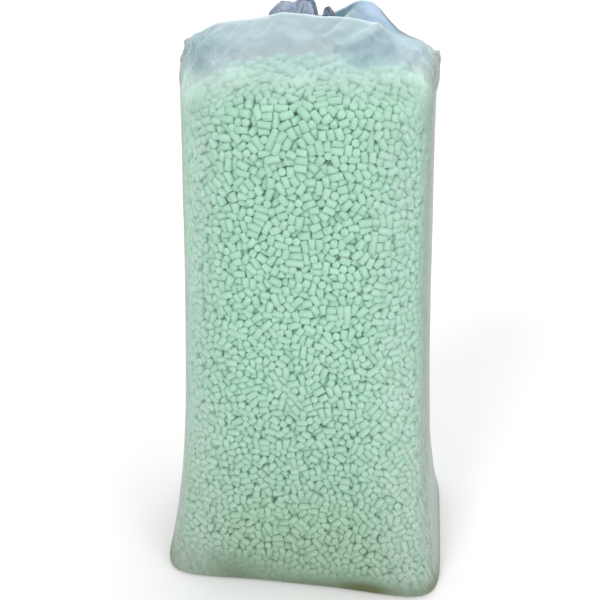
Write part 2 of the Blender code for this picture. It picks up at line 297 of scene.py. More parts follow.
def settleRods(picker):
    # Rods start anywhere in the shell, push each other apart and are pressed to the film
    radius = heap["peanutDiameter"] / 2
    low, high = np.array(cadBox[0]), np.array(cadBox[1])
    tries = low + (high - low) * picker.random((heap["tries"], 3))
    depth = depthInFill(tries)[0]
    inShell = (depth > radius) & (depth < heap["shellDepth"])
    shellVolume = inShell.mean() * np.prod(high - low)
    meanLength = np.mean(heap["lengths"])
    count = int(heap["fullness"] * shellVolume / (math.pi * radius ** 2 * meanLength))
    middles = tries[inShell][:count]
    directions = unit(picker.normal(size=(count, 3)))
    lengths = picker.uniform(*heap["lengths"], count)
    longOnes = picker.random(count) < heap["longShare"]
    lengths[longOnes] = picker.uniform(*heap["longLengths"], longOnes.sum())
    radii = radius * (1.0 + heap["diameterSpread"] * picker.uniform(-1.0, 1.0, count))
    endOn = picker.random(count) < heap["endOnShare"]

    fixed = looseRods()
    loose = len(fixed[0])
    free = (middles, directions, lengths, radii)
    middles, directions, lengths, radii = [np.concatenate(pair) for pair in zip(fixed, free)]
    total = len(middles)
    endOn = np.concatenate([np.zeros(loose, bool), endOn])
    spots = np.array([-1.0, 0.0, 1.0])
    arm = np.maximum(lengths / 2 - heap["ballInset"] * radii, heap["shortestArm"])
    offsets = arm[:, None] * spots
    spread = lengths ** 2 / 12 + radii ** 2 / 4
    owner = np.repeat(np.arange(total), 3)
    sphereRadius = np.repeat(radii, 3)
    sphereArm = offsets.ravel()
    weight = 1.0 + sphereArm ** 2 / spread[owner]
    rounds = heap["rounds"]
    for turn in range(rounds):
        balls = (middles[:, None, :] + offsets[:, :, None] * directions[:, None, :]).reshape(-1, 3)
        if turn % heap["pairEvery"] == 0:
            first, second = nearPairs(balls, heap["pairReach"] * radius)
            apart = owner[first] != owner[second]
            first, second = first[apart], second[apart]
        gap = balls[first] - balls[second]
        distance = np.maximum(np.linalg.norm(gap, axis=1), 1e-9)
        overlap = sphereRadius[first] + sphereRadius[second] - distance
        touching = overlap > 0.0
        one, two = first[touching], second[touching]
        push = gap[touching] / distance[touching][:, None] * (0.5 * overlap[touching])[:, None]
        wallDepth, away = depthInFill(balls)
        tooNear = np.flatnonzero(wallDepth < sphereRadius)
        tooDeep = np.flatnonzero(wallDepth > heap["shellDepth"])
        wallPush = (sphereRadius - wallDepth)[tooNear][:, None] * away[tooNear]
        deepPush = (heap["shellDepth"] - wallDepth)[tooDeep][:, None] * away[tooDeep]
        ball = np.concatenate([one, two, tooNear, tooDeep])
        moves = np.concatenate([push, -push, wallPush, deepPush])
        rod = owner[ball]
        shift = moves / weight[ball][:, None]
        swing = np.cross(sphereArm[ball][:, None] * directions[rod], shift) / spread[rod][:, None]
        contacts = np.maximum(np.bincount(rod, minlength=total), 1)[:, None]
        ease = heap["ease"] / contacts ** heap["crowding"]
        move = sumOver(rod, shift, total) * ease
        spin = sumOver(rod, swing, total) * ease
        middleDepth, middleAway = wallDepth.reshape(-1, 3)[:, 1], away.reshape(-1, 3, 3)[:, 1]
        if turn < rounds - heap["looseRounds"]:
            move -= heap["press"] * middleAway
        # a flat ended rod reaches further than its balls where it stands at an angle to the film
        stand = (directions * middleAway).sum(axis=1)
        lie = np.abs(stand)
        reach = lie * (lengths / 2 - heap["edgeRound"]) + np.sqrt(1.0 - lie ** 2) * radii
        reach += heap["edgeRound"] * heap["edgeReach"]
        poke = np.maximum(reach - middleDepth - heap["filmGap"], 0.0)
        move += poke[:, None] * middleAway
        # most rods come to lie along the film, and a few stay end on
        turnTo = np.where(endOn, np.sign(stand) * (1.0 - lie), -stand) * heap["settleTurn"]
        turnTo = np.where(middleDepth < heap["turnDepth"], turnTo, 0.0)[:, None] * middleAway
        move[:loose], spin[:loose], turnTo[:loose] = 0.0, 0.0, 0.0
        middles = middles + move
        directions = unit(directions + np.cross(spin, directions) + turnTo)
    meanOverlap = float(overlap[touching].mean() * 1000)
    print("heap settled:", total, "rods, mean overlap", round(meanOverlap, 2), "mm")
    return middles, directions, lengths, radii, loose


picker = np.random.default_rng(heap["seed"])
rods = settleRods(picker)


# One peanut, modelled once in two finenesses: a stubby rod with worn edges and slightly sunken ends

peanut = {
    "length": 0.022,
    "sides": 10,
    "hiddenSides": 7,
    "edgeRound": 0.0014,
    "sunkenEnd": 0.0005,
    "slantedCut": 0.10,
    "oval": 0.05,
}


def modelPeanut(sides, worn):
    deselectAll()
    radius, half = heap["peanutDiameter"] / 2, peanut["length"] / 2
    bpy.ops.mesh.primitive_cylinder_add(vertices=sides, radius=radius, depth=2 * half,
                                        end_fill_type="TRIFAN" if worn else "NGON")
    model = bpy.context.object
    if worn:
        bpy.ops.object.mode_set(mode="EDIT")
        bpy.ops.mesh.select_mode(type="EDGE")
        bpy.ops.mesh.select_all(action="DESELECT")
        bpy.ops.object.mode_set(mode="OBJECT")
        for edge in model.data.edges:
            ends = [model.data.vertices[index].co for index in edge.vertices]
            level = abs(ends[0].z - ends[1].z) < 1e-6
            edge.select = level and all(end.xy.length > 0.5 * radius for end in ends)
        bpy.ops.object.mode_set(mode="EDIT")
        bpy.ops.mesh.bevel(offset=peanut["edgeRound"], segments=1, affect="EDGES")
        bpy.ops.mesh.select_mode(type="VERT")
        for side in (1, -1):
            bpy.ops.mesh.select_all(action="DESELECT")
            bpy.ops.object.mode_set(mode="OBJECT")
            for vert in model.data.vertices:
                vert.select = vert.co.xy.length < 0.1 * radius and vert.co.z * side > 0
            bpy.ops.object.mode_set(mode="EDIT")
            bpy.ops.transform.translate(value=(0, 0, -side * peanut["sunkenEnd"]))
        bpy.ops.object.mode_set(mode="OBJECT")
    points = np.array([vert.co for vert in model.data.vertices])
    faces = [list(face.vertices) for face in model.data.polygons]
    bpy.data.objects.remove(model, do_unlink=True)
    groups = [np.array([face for face in faces if len(face) == size])
              for size in sorted({len(face) for face in faces})]
    return points, groups


fineRod = modelPeanut(peanut["sides"], True)
plainRod = modelPeanut(peanut["hiddenSides"], False)
print("peanut modelled:", len(fineRod[0]), "points")


def rodAxes(directions, turns):
    helper = np.where(np.abs(directions[:, 2:]) < 0.9, [[0.0, 0.0, 1.0]], [[1.0, 0.0, 0.0]])
    first = unit(np.cross(helper, directions))
    second = np.cross(directions, first)
    cos, sin = np.cos(turns)[:, None], np.sin(turns)[:, None]
    return first * cos + second * sin, second * cos - first * sin


def placeRods(model, chosen, grain):
    # The points of a copy of the model for each chosen rod
    middles, directions, lengths, radii = (values[chosen] for values in rods[:4])
    points = model[0]
    first, second = rodAxes(directions, grain["turn"][chosen])
    stretch = radii / (heap["peanutDiameter"] / 2)
    wide = (stretch * (1.0 + grain["oval"][chosen]))[:, None] * points[:, 0]
    high = (stretch * (1.0 - grain["oval"][chosen]))[:, None] * points[:, 1]
    along = points[:, 2] + np.sign(points[:, 2]) * (lengths[:, None] - peanut["length"]) / 2
    along = along + grain["slant"][chosen][:, None] * points[:, 0] * np.sign(points[:, 2])
    aside = wide[..., None] * first[:, None] + high[..., None] * second[:, None]
    return middles[:, None] + aside + along[..., None] * directions[:, None]


def rodMesh(name, model, chosen, grain):
    placed = placeRods(model, chosen, grain)
    count, size = placed.shape[:2]
    flat = placed.reshape(-1, 3)
    groups = [(np.arange(count)[:, None, None] * size + group[None]).reshape(-1, group.shape[1])
              for group in model[1]]
    radial = np.linalg.norm(model[0][:, :2], axis=1) / (heap["peanutDiameter"] / 2)
    cap = np.tile(np.clip(1.0 - radial, 0.0, 1.0), count)
    # depth from the film, which sets how much painted gap shade a point gets
    depth = np.clip(depthInFill(flat)[0] / heap["gapShadeDepth"], 0.0, 1.0)
    tone = np.repeat(grain["tone"][chosen], size)
    mesh = buildMesh(name, flat, groups, [("tone", tone), ("depth", depth), ("cap", cap)])
    mesh.shade_smooth()
    return mesh


def grainOf(total, picker):
    return {
        "turn": picker.uniform(0.0, 2 * math.pi, total),
        "oval": picker.uniform(-1.0, 1.0, total) * peanut["oval"],
        "slant": picker.uniform(-1.0, 1.0, total) * peanut["slantedCut"],
        "tone": picker.random(total),
    }


def pullInside(rods, grain):
    # No peanut pokes through the film
    middles, directions, lengths, radii, loose = rods
    chosen = np.arange(loose, len(middles))
    placed = placeRods(fineRod, chosen, grain)
    depth, away = depthInFill(placed.reshape(-1, 3))
    depth = depth.reshape(placed.shape[:2])
    away = away.reshape(placed.shape)
    worst = depth.argmin(axis=1)
    rows = np.arange(len(chosen))
    lack = np.clip(heap["pullGap"] - depth[rows, worst], 0.0, heap["longestPull"])
    middles[chosen] += lack[:, None] * away[rows, worst]
    return int((lack > 0).sum())


grain = grainOf(len(rods[0]), picker)
grain["slant"][:rods[4]] = 0.0
grain["oval"][:rods[4]] = 0.0
pulled = [pullInside(rods, grain) for again in range(3)]
print("peanuts pulled back from the film:", pulled)


# Shader node helpers and the effects that several finishes share

def addNode(tree, kind, **settings):
    node = tree.nodes.new(kind)
    for key, value in settings.items():
        setattr(node, key, value)
    return node


def link(tree, source, target):
    tree.links.new(source, target)


def mathNode(tree, operation, first, second=None, clamp=False):
    node = addNode(tree, "ShaderNodeMath", operation=operation, use_clamp=clamp)
    for socket, value in zip(node.inputs, (first, second)):
        if value is None:
            continue
        if isinstance(value, (int, float)):
            socket.default_value = value
        else:
            link(tree, value, socket)
    return node.outputs[0]


def times(tree, first, second):
    return mathNode(tree, "MULTIPLY", first, second)


def smoothRange(tree, value, low, high):
    ramp = addNode(tree, "ShaderNodeMapRange", interpolation_type="SMOOTHSTEP")
    ramp.inputs["From Min"].default_value = low
    ramp.inputs["From Max"].default_value = high
    link(tree, value, ramp.inputs["Value"])
    return ramp.outputs["Result"]


def mixColors(tree, share, first, second, mode="MIX"):
    node = addNode(tree, "ShaderNodeMix", data_type="RGBA", blend_type=mode)
    sockets = (node.inputs[0], node.inputs[6], node.inputs[7])
    for socket, value in zip(sockets, (share, first, second)):
        if isinstance(value, (int, float)):
            socket.default_value = value
        elif isinstance(value, tuple):
            socket.default_value = (*value, 1.0)
        else:
            link(tree, value, socket)
    return node.outputs[2]


def attribute(tree, name):
    return addNode(tree, "ShaderNodeAttribute", attribute_name=name).outputs["Fac"]


def newGroup(name, inputs, outputs):
    group = bpy.data.node_groups.new(name, "ShaderNodeTree")
    for label, kind, value in inputs:
        socket = group.interface.new_socket(label, in_out="INPUT", socket_type=kind)
        socket.default_value = value
    for label, kind in outputs:
        group.interface.new_socket(label, in_out="OUTPUT", socket_type=kind)
    return group, group.nodes.new("NodeGroupInput"), group.nodes.new("NodeGroupOutput")


def makeGrainGroup():
    # Fine uneven grain: a cell pattern over soft mottling, in object space
    group, given, result = newGroup("fineGrain", [("Scale", "NodeSocketFloat", 600.0)],
                                    [("Cells", "NodeSocketFloat"), ("Mottle", "NodeSocketFloat")])
    place = group.nodes.new("ShaderNodeTexCoord").outputs["Object"]
    cells = addNode(group, "ShaderNodeTexVoronoi", feature="F1")
    link(group, place, cells.inputs["Vector"])
    link(group, given.outputs["Scale"], cells.inputs["Scale"])
    mottle = addNode(group, "ShaderNodeTexNoise")
    mottle.inputs["Detail"].default_value = 3.0
    link(group, place, mottle.inputs["Vector"])
    link(group, mathNode(group, "MULTIPLY", given.outputs["Scale"], 0.12), mottle.inputs["Scale"])
    link(group, cells.outputs["Distance"], result.inputs["Cells"])
    link(group, mottle.outputs["Fac"], result.inputs["Mottle"])
    return group


def makeCrinkleGroup():
    # Sharp thin creases that run mostly one way, as in film that was crumpled and pulled
    group, given, result = newGroup(
        "filmCrinkle",
        [("Stretch", "NodeSocketVector", (60.0, 60.0, 12.0)),
         ("Turn", "NodeSocketVector", (0.0, 0.0, 0.0)),
         ("Sharpness", "NodeSocketFloat", 7.0)],
        [("Creases", "NodeSocketFloat"), ("Broad", "NodeSocketFloat")])
    place = group.nodes.new("ShaderNodeTexCoord").outputs["Object"]
    turned = addNode(group, "ShaderNodeVectorRotate", rotation_type="EULER_XYZ")
    link(group, place, turned.inputs["Vector"])
    link(group, given.outputs["Turn"], turned.inputs["Rotation"])
    scaled = addNode(group, "ShaderNodeVectorMath", operation="MULTIPLY")
    link(group, turned.outputs[0], scaled.inputs[0])
    link(group, given.outputs["Stretch"], scaled.inputs[1])
    pattern = addNode(group, "ShaderNodeTexNoise")
    pattern.inputs["Scale"].default_value = 1.0
    pattern.inputs["Detail"].default_value = 4.0
    pattern.inputs["Distortion"].default_value = 0.25
    link(group, scaled.outputs[0], pattern.inputs["Vector"])
    centred = mathNode(group, "SUBTRACT", pattern.outputs["Fac"], 0.5)
    away = mathNode(group, "ABSOLUTE", centred)
    away = mathNode(group, "MULTIPLY", away, given.outputs["Sharpness"])
    ridge = mathNode(group, "SUBTRACT", 1.0, away, clamp=True)
    link(group, mathNode(group, "POWER", ridge, 2.0), result.inputs["Creases"])
    broad = addNode(group, "ShaderNodeTexNoise")
    broad.inputs["Scale"].default_value = 0.22
    broad.inputs["Detail"].default_value = 2.0
    link(group, scaled.outputs[0], broad.inputs["Vector"])
    link(group, broad.outputs["Fac"], result.inputs["Broad"])
    return group


grainGroup = makeGrainGroup()
crinkleGroup = makeCrinkleGroup()


def newMaterial(name):
    material = bpy.data.materials.new(name)
    material.use_nodes = True
    return material, material.node_tree, material.node_tree.nodes["Principled BSDF"]


def useGroup(tree, group, **values):
    node = addNode(tree, "ShaderNodeGroup", node_tree=group)
    for label, value in values.items():
        node.inputs[label].default_value = value
    return node


def bump(tree, height, strength, distance):
    node = addNode(tree, "ShaderNodeBump")
    node.inputs["Strength"].default_value = strength
    node.inputs["Distance"].default_value = distance
    link(tree, height, node.inputs["Height"])
    return node.outputs["Normal"]


# Starch foam: mint green, matt, with fine cells, a little paler at the skin, and with painted
# shade: a deeper green in the gaps, darker and browner towards the floor

starch = {
    "pale": (0.455, 0.665, 0.560),
    "plain": (0.360, 0.585, 0.455),
    # painted shade: the deeper green that the gaps between peanuts get
    "gapShadeColor": (0.30, 0.61, 0.44),
    "end": (0.44, 0.69, 0.56),
    "roughness": 0.72,
    "cellScale": 750.0,
    "toneShare": 0.75,
    "mottleShare": 0.50,
    "endShare": 0.60,
    "gapShadeShare": 1.15,
    "cellStrength": 0.35,
    "cellHeight": 0.0006,
    "translucence": 0.45,
    "glowDepth": (0.0030, 0.0050, 0.0040),
    # painted shade towards the floor: its tint, the height where it ends and how fast it fades
    "footShadeTint": (0.67, 0.58, 0.49),
    "footShadeHeight": 0.90,
    "footShadeFade": 2.8,
}


def makeStarch():
    material, tree, shader = newMaterial("starchFoam")
    grainNode = useGroup(tree, grainGroup, Scale=starch["cellScale"])
    tone = times(tree, attribute(tree, "tone"), starch["toneShare"])
    mottle = times(tree, grainNode.outputs["Mottle"], starch["mottleShare"])
    mottled = mathNode(tree, "ADD", tone, mottle, clamp=True)
    skin = mixColors(tree, mottled, starch["plain"], starch["pale"])
    cap = times(tree, attribute(tree, "cap"), starch["endShare"])
    skin = mixColors(tree, cap, skin, starch["end"])
    # painted shade: a deeper green the further a point lies from the film
    gapShade = mathNode(tree, "MULTIPLY", attribute(tree, "depth"), starch["gapShadeShare"], clamp=True)
    color = mixColors(tree, gapShade, skin, starch["gapShadeColor"])
    # painted shade: the peanuts grow darker and browner towards the floor
    place = addNode(tree, "ShaderNodeSeparateXYZ")
    link(tree, addNode(tree, "ShaderNodeTexCoord").outputs["Object"], place.inputs[0])
    above = mathNode(tree, "DIVIDE", place.outputs["Z"], starch["footShadeHeight"], clamp=True)
    below = mathNode(tree, "SUBTRACT", 1.0, above, clamp=True)
    footShade = mathNode(tree, "POWER", below, starch["footShadeFade"])
    color = mixColors(tree, footShade, color, starch["footShadeTint"], mode="MULTIPLY")
    link(tree, color, shader.inputs["Base Color"])
    shader.inputs["Roughness"].default_value = starch["roughness"]
    shader.inputs["Subsurface Weight"].default_value = starch["translucence"]
    shader.inputs["Subsurface Radius"].default_value = starch["glowDepth"]
    shader.inputs["Subsurface Scale"].default_value = 1.0
    cells = bump(tree, grainNode.outputs["Cells"], starch["cellStrength"], starch["cellHeight"])
    link(tree, cells, shader.inputs["Normal"])
    return material


starchFoam = makeStarch()


# The heap as pieces: the seen layer by sides, the layer behind it, the loose ones and a deep core

heapSides = {
    "topLean": -0.5,  # a peanut belongs to the top where the way in from the wall goes down
    "baseLean": 0.7,
    "spans": (0.28, 0.23),
    "sectors": {  # from and to, in degrees round the bag
        "heap_front": (-150, -30),
        "heap_right": (-30, 30),
        "heap_back": (30, 150),
    },
}


def heapPiece(name, model, chosen, replaced):
    piece = addPiece(name, rodMesh(name, model, chosen, grain), starchFoam)
    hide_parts(*replaced)
    print(name, len(chosen), "peanuts", len(piece.data.polygons), "faces")


middles, loose = rods[0], rods[4]
rodDepth, rodAway = depthInFill(middles)
seen = rodDepth < heap["seenDepth"]
seen[:loose] = True
number = np.arange(len(middles))
across, along = middles[:, 0] / heapSides["spans"][0], middles[:, 1] / heapSides["spans"][1]
around = np.degrees(np.arctan2(along, across))
onTop = rodAway[:, 2] < heapSides["topLean"]
onBase = rodAway[:, 2] > heapSides["baseLean"]
sides = {"heap_top": onTop, "heap_base": onBase, "heap_left": ~(onTop | onBase)}
for name, (low, high) in heapSides["sectors"].items():
    inSector = (around >= low) & (around < high)
    sides[name] = ~(onTop | onBase) & inSector
    sides["heap_left"] = sides["heap_left"] & ~inSector
for name, mask in sides.items():
    heapPiece(name, fineRod, number[mask & seen & (number >= loose)], ["peanut_fill"])
heapPiece("heap_inner", plainRod, number[~seen], ["peanut_fill"])
heapPiece("loose_peanuts", fineRod, number[:loose], loosePeanuts)


def loftMesh(name, rings, closeTop=False, attributes=()):
    # Skins rings of points, each with as many points, from a closed base upwards
    count, steps = len(rings), len(rings[0])
    points = np.concatenate(rings)
    row = np.arange(count - 1)[:, None] * steps
    step = np.arange(steps)[None]
    following = (step + 1) % steps
    above = row + steps
    quads = np.stack([row + step, row + following, above + following, above + step], axis=-1)
    groups = [quads.reshape(-1, 4), np.arange(steps)[::-1][None]]
    if closeTop:
        groups.append((np.arange(steps) + (count - 1) * steps)[None])
    return buildMesh(name, points, groups, attributes)


# The core: what little shows of it in the gaps gets the full painted gap shade, as deep green as
# the gaps

core = {
    "overlap": 0.006,
    "steps": 96,
    "levels": (0.06, 1.02, 24),
    "topHeight": 1.03,
    "topScale": 0.9,
    "finish": {"tone": 0.4, "depth": 1.0, "cap": 0.0},
}


def makeCore():
    inset = heap["shellDepth"] - core["overlap"]
    angles = np.linspace(0, 2 * math.pi, core["steps"], endpoint=False)
    levels = [inset, *np.linspace(*core["levels"])]
    rings = [bodyPoint(angles, np.full_like(angles, z), inset) for z in levels]
    top = np.full_like(angles, core["topHeight"])
    rings.append(bodyPoint(angles, top, inset, core["topScale"]))
    count = sum(len(ring) for ring in rings)
    finish = [(label, np.full(count, value)) for label, value in core["finish"].items()]
    mesh = loftMesh("heap_core", rings, closeTop=True, attributes=finish)
    mesh.shade_smooth()
    piece = addPiece("heap_core", mesh, starchFoam)
    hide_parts("peanut_fill")


makeCore()
print("heap pieces placed")


# The film bag: one skin from the base over the crest, down to the neck and out to the open tail

film = {
    "steps": 320,
    "edgeRows": 6,
    "bodyRows": 46,
    "panelRows": 30,
    "valleyRows": 26,
    "neckRows": 4,
    "tailRows": 12,
    "crestRise": 0.146,
    "crestHalfWidth": 0.246,
    "crestHalfDepth": 0.092,
    "leftShoulderDrop": 0.062,
    "rightShoulderDrop": 0.072,
    "shoulderCurve": 2.3,
    "backCrestDrop": 0.022,
    "peakRise": 0.034,
    "peakAngle": 66.0,
    "peakSpread": 15.0,
    "crestGather": 0.020,
    "crestRipple": 0.0022,
    "panelUpright": 0.55,
    "valleyReach": 0.6,
    "valleyDepth": 0.004,
    "neckX": 0.020,
    "neckDip": 0.046,
    "neckRadius": 0.013,
    "neckPleat": 0.0012,
    "pleats": 11,
    "looseFolds": 7,
    "looseFoldShare": 0.55,
    "pleatHeight": 0.010,
    "tieWidth": 0.005,
    "tailLength": 0.056,
    "tailBelly": 2.0,
    "tailBellyHeight": 0.35,
    "leftTuftReach": 0.074,
    "rightTuftReach": 0.020,
    "rightTuftDrop": 0.008,
    "tailDepth": 0.017,
    "ruffle": 0.16,
    "notchOffset": -0.002,
    "notchDepth": 0.040,
    "notchWidth": 0.008,
    "sideDrop": 0.006,
    # crumples: how deep, between which shares of a zone they come and go, and their noises
    "crumple": 0.0045,
    "fineCrumple": 0.0014,
    "crumpleGain": 2.2,
    "panelRise": (0.0, 0.35),
    "panelFall": (0.8, 1.0),
    "crestHold": 0.75,
    "valleySlack": (0.25, 0.75),
    "valleyFall": (0.75, 1.0),
    "tailSlack": 0.9,
    "tailRise": (0.05, 0.5),
    "crumpleNoises": (((17.0, 17.0, 9.0), 1), ((23.0, 23.0, 13.0), 2)),
    "fineNoises": (((55.0, 55.0, 30.0), 3), ((60.0, 60.0, 38.0), 4)),
    "bodySlack": 0.0016,
    "bodySlackRise": (0.02, 0.1),
    "bodySlackNoise": ((26.0, 26.0, 7.0), 5),
    # soft folds of the front panel: start, end (each x, z), half width and rise
    "folds": (
        ((0.133, 1.190), (0.055, 1.157), 0.006, 0.006),
        ((-0.222, 1.160), (-0.150, 1.110), 0.009, 0.007),
        ((-0.165, 1.180), (-0.205, 1.105), 0.007, 0.006),
        ((-0.120, 1.190), (-0.145, 1.120), 0.009, 0.005),
        ((0.205, 1.155), (0.150, 1.100), 0.009, 0.006),
        ((-0.060, 1.195), (0.010, 1.160), 0.016, 0.004),
    ),
    "foldStart": (-0.1, 0.15),
    "foldEnd": (0.85, 1.1),
}

# The parts of the skin, from the floor up and over
edgeZone, bodyZone, panelZone, valleyZone, neckZone, tailZone = range(6)


def filmNoise(points, scale, seed):
    offset = Vector((seed * 3.7, seed * 1.9, seed * 5.3))
    return np.array([noise.noise(Vector(point) + offset) for point in points * np.array(scale)])


def crossedNoise(points, first, second):
    # Ridges and hollows, from one noise folded at zero and set against another
    return np.abs(filmNoise(points, *first)) - np.abs(filmNoise(points, *second))


def bezier(start, control, end, t):
    return start * (1 - t) ** 2 + control * (2 * t * (1 - t)) + end * t ** 2


def pleatsAt(angle):
    # Even pleats with a second set of looser folds between them
    loose = film["looseFoldShare"] * np.sin(film["looseFolds"] * angle)
    return np.cos(film["pleats"] * angle) + loose


def crestPoint(angle):
    across = np.cos(angle)
    drop = np.where(across > 0.0, film["rightShoulderDrop"], film["leftShoulderDrop"])
    peak = np.exp(-((np.degrees(angle) - film["peakAngle"]) / film["peakSpread"]) ** 2)
    z = bag["bodyHeight"] + film["crestRise"] - drop * np.abs(across) ** film["shoulderCurve"]
    z = z - film["backCrestDrop"] * np.maximum(0.0, np.sin(angle)) + film["peakRise"] * peak
    z = z + film["crestRipple"] * pleatsAt(angle)
    x = bodyLean(bag["bodyHeight"]) + film["crestHalfWidth"] * across
    y = film["crestHalfDepth"] * np.sin(angle) * (1.0 + film["crestGather"] * pleatsAt(angle))
    return np.stack([x, y, z], axis=-1)


def neckCentre():
    height = bag["bodyHeight"] + film["crestRise"] - film["neckDip"]
    return np.array([bodyLean(bag["bodyHeight"]) + film["neckX"], 0.0, height])


def neckPoint(angle, lift):
    radius = film["neckRadius"] + film["neckPleat"] * np.cos(film["pleats"] * angle)
    ring = np.stack([np.cos(angle) * radius, np.sin(angle) * radius, 0.0 * angle + lift], axis=-1)
    return neckCentre() + ring


def tailMouth(angle):
    across = np.cos(angle)
    reach = np.where(across > 0.0, film["rightTuftReach"], film["leftTuftReach"])
    x = reach * across
    y = film["tailDepth"] * np.sin(angle) * (1.0 + film["ruffle"] * np.cos(film["pleats"] * angle))
    notch = np.exp(-((x - film["notchOffset"]) / film["notchWidth"]) ** 2)
    z = film["tieWidth"] + film["tailLength"] - film["notchDepth"] * notch
    z = z - film["sideDrop"] * across ** 4 - film["rightTuftDrop"] * smoothstep(-0.004, 0.002, x)
    return neckCentre() + np.stack([x, y, z], axis=-1)


def filmRings(angle):
    # Rings of points with, for each ring, the zone that it lies in and its share along the zone
    rings, zones = [], []
    for turn in np.linspace(0, math.pi / 2, film["edgeRows"]):
        z = bag["edgeHeight"] * (1.0 - math.cos(turn))
        rings.append(bodyPoint(angle, np.full_like(angle, z)))
        zones.append((edgeZone, 0.0))
    for share in np.linspace(0, 1, film["bodyRows"] + 1)[1:]:
        z = bag["edgeHeight"] + (bag["bodyHeight"] - bag["edgeHeight"]) * share
        rings.append(bodyPoint(angle, np.full_like(angle, z)))
        zones.append((bodyZone, share))
    start = bodyPoint(angle, np.full_like(angle, bag["bodyHeight"]))
    crestRing = crestPoint(angle)
    control = start.copy()
    control[:, 2] = bag["bodyHeight"] + (crestRing[:, 2] - bag["bodyHeight"]) * film["panelUpright"]
    for t in np.linspace(0, 1, film["panelRows"] + 1)[1:]:
        rings.append(bezier(start, control, crestRing, t))
        zones.append((panelZone, t))
    foot = neckPoint(angle, -film["tieWidth"])
    control = crestRing + (foot - crestRing) * film["valleyReach"]
    control[:, 2] = np.minimum(crestRing[:, 2], foot[:, 2]) - film["valleyDepth"]
    for t in np.linspace(0, 1, film["valleyRows"] + 1)[1:]:
        ring = bezier(crestRing, control, foot, t)
        ring[:, 2] += film["pleatHeight"] * math.sin(math.pi * t) * pleatsAt(angle)
        rings.append(ring)
        zones.append((valleyZone, t))
    for lift in np.linspace(-1, 1, film["neckRows"])[1:]:
        rings.append(neckPoint(angle, lift * film["tieWidth"]))
        zones.append((neckZone, 0.0))
    top, mouth = neckPoint(angle, film["tieWidth"]), tailMouth(angle)
    control = neckCentre() + (mouth - neckCentre()) * film["tailBelly"]
    control[:, 2] = top[:, 2] + (mouth[:, 2] - top[:, 2]) * film["tailBellyHeight"]
    for t in np.linspace(0, 1, film["tailRows"] + 1)[1:]:
        rings.append(bezier(top, control, mouth, t))
        zones.append((tailZone, t))
    return np.array(rings), np.array(zones)


def ringNormals(rings):
    around = np.roll(rings, -1, axis=1) - np.roll(rings, 1, axis=1)
    upward = np.gradient(rings, axis=0)
    return unit(np.cross(around, upward))


def fromLine(flat, start, end):
    # Distance to a line on the front of the bag, given by x and z, and the share along it
    start, end = np.array(start), np.array(end)
    line = end - start
    offset = flat[:, [0, 2]] - start
    beside = (offset[:, 0] * line[1] - offset[:, 1] * line[0]) / np.linalg.norm(line)
    return beside, (offset @ line) / (line @ line)


# Where the finish of the film changes. A pair is where a change starts and ends, in metres or as a
# share, and a waver is the size, scale and seed of a noise that makes it uneven

marks = {
    "empty": (1.100, 1.140),
    "emptyWaver": (0.012, (14.0, 14.0, 14.0), 6),
    "hazeFoot": 1.050,
    "haze": (0.0, 0.090),
    "hazeWaver": (0.018, (16.0, 16.0, 12.0), 7),
    "leftSag": 0.035,
    "leftSagX": (-0.20, -0.06),
    "rightSag": 0.020,
    "rightX": (0.12, 0.22),
    "backSag": 0.050,
    "backY": (0.0, 0.08),
    "valleyHaze": 0.6,
    "peakHaze": 0.5,
    "peakX": (0.060, 0.100),
    "peakHeight": (1.09, 1.12),
    # painted shade to the right of a fold, given by two points as x and z
    "foldLine": ((0.128, 1.188), (0.062, 1.160)),
    "foldEdge": (-0.002, 0.008),
    "foldFade": (0.030, 0.105),
    "foldStart": (-0.45, -0.05),
    "foldEnd": (0.7, 1.2),
    "foldHeight": (1.105, 1.140),
    "foldShade": 0.78,
    # patches of painted shade: x, z, half width and half height
    "patches": (
        (-0.221, 1.157, 0.014, 0.009), (-0.163, 1.147, 0.022, 0.012), (-0.153, 1.180, 0.016, 0.006),
        (-0.121, 1.176, 0.020, 0.007), (-0.129, 1.149, 0.018, 0.012), (-0.191, 1.129, 0.016, 0.016),
        (-0.155, 1.112, 0.018, 0.008), (0.196, 1.140, 0.020, 0.010), (0.222, 1.125, 0.010, 0.020),
    ),
    "patchEdge": (0.4, 1.4),
    "patchWaver": (0.5, (70.0, 70.0, 70.0), 10),
    "patchShade": 0.4,
    "cornerX": (-0.20, -0.08),
    "cornerHeight": (1.07, 1.12),
    "cornerShade": 0.7,
    "hollowStart": (0.010, 0.030),
    "hollowEnd": (0.058, 0.102),
    "hollowHeight": (1.05, 1.10),
    # painted shade by the floor, higher on the left
    "baseShadeStart": 0.014,
    "baseShadeEnd": 0.115,
    "baseShadeDrop": 0.055,
    "baseShadeX": (-0.2, 0.25),
    "baseShadeStrength": 0.8,
    "baseShadeWaver": (0.5, (8.0, 8.0, 8.0), 8),
    "creasedX": (-0.17, -0.06),
    "creasedLeft": 0.65,
    "creasedRight": 0.25,
    "creasedEdges": 0.55,
    "creasedHeight": (0.85, 1.08),
    "edge": (0.86, 0.99),
    "side": (0.42, 0.82),
    "streaked": 0.6,
    "streakWaver": (0.9, (5.0, 5.0, 3.5), 9),
    "bandStart": (0.50, 0.70),
    "bandEnd": (0.80, 0.92),
    "bandShade": 0.5,
    "rightTuftX": (0.012, 0.020),
    "rim": 0.6,
    "shoulderRimX": (0.115, 0.125),
    "pleat": 1.4,
    "pleatRise": (0.1, 0.8),
    "backPleat": 0.5,
}


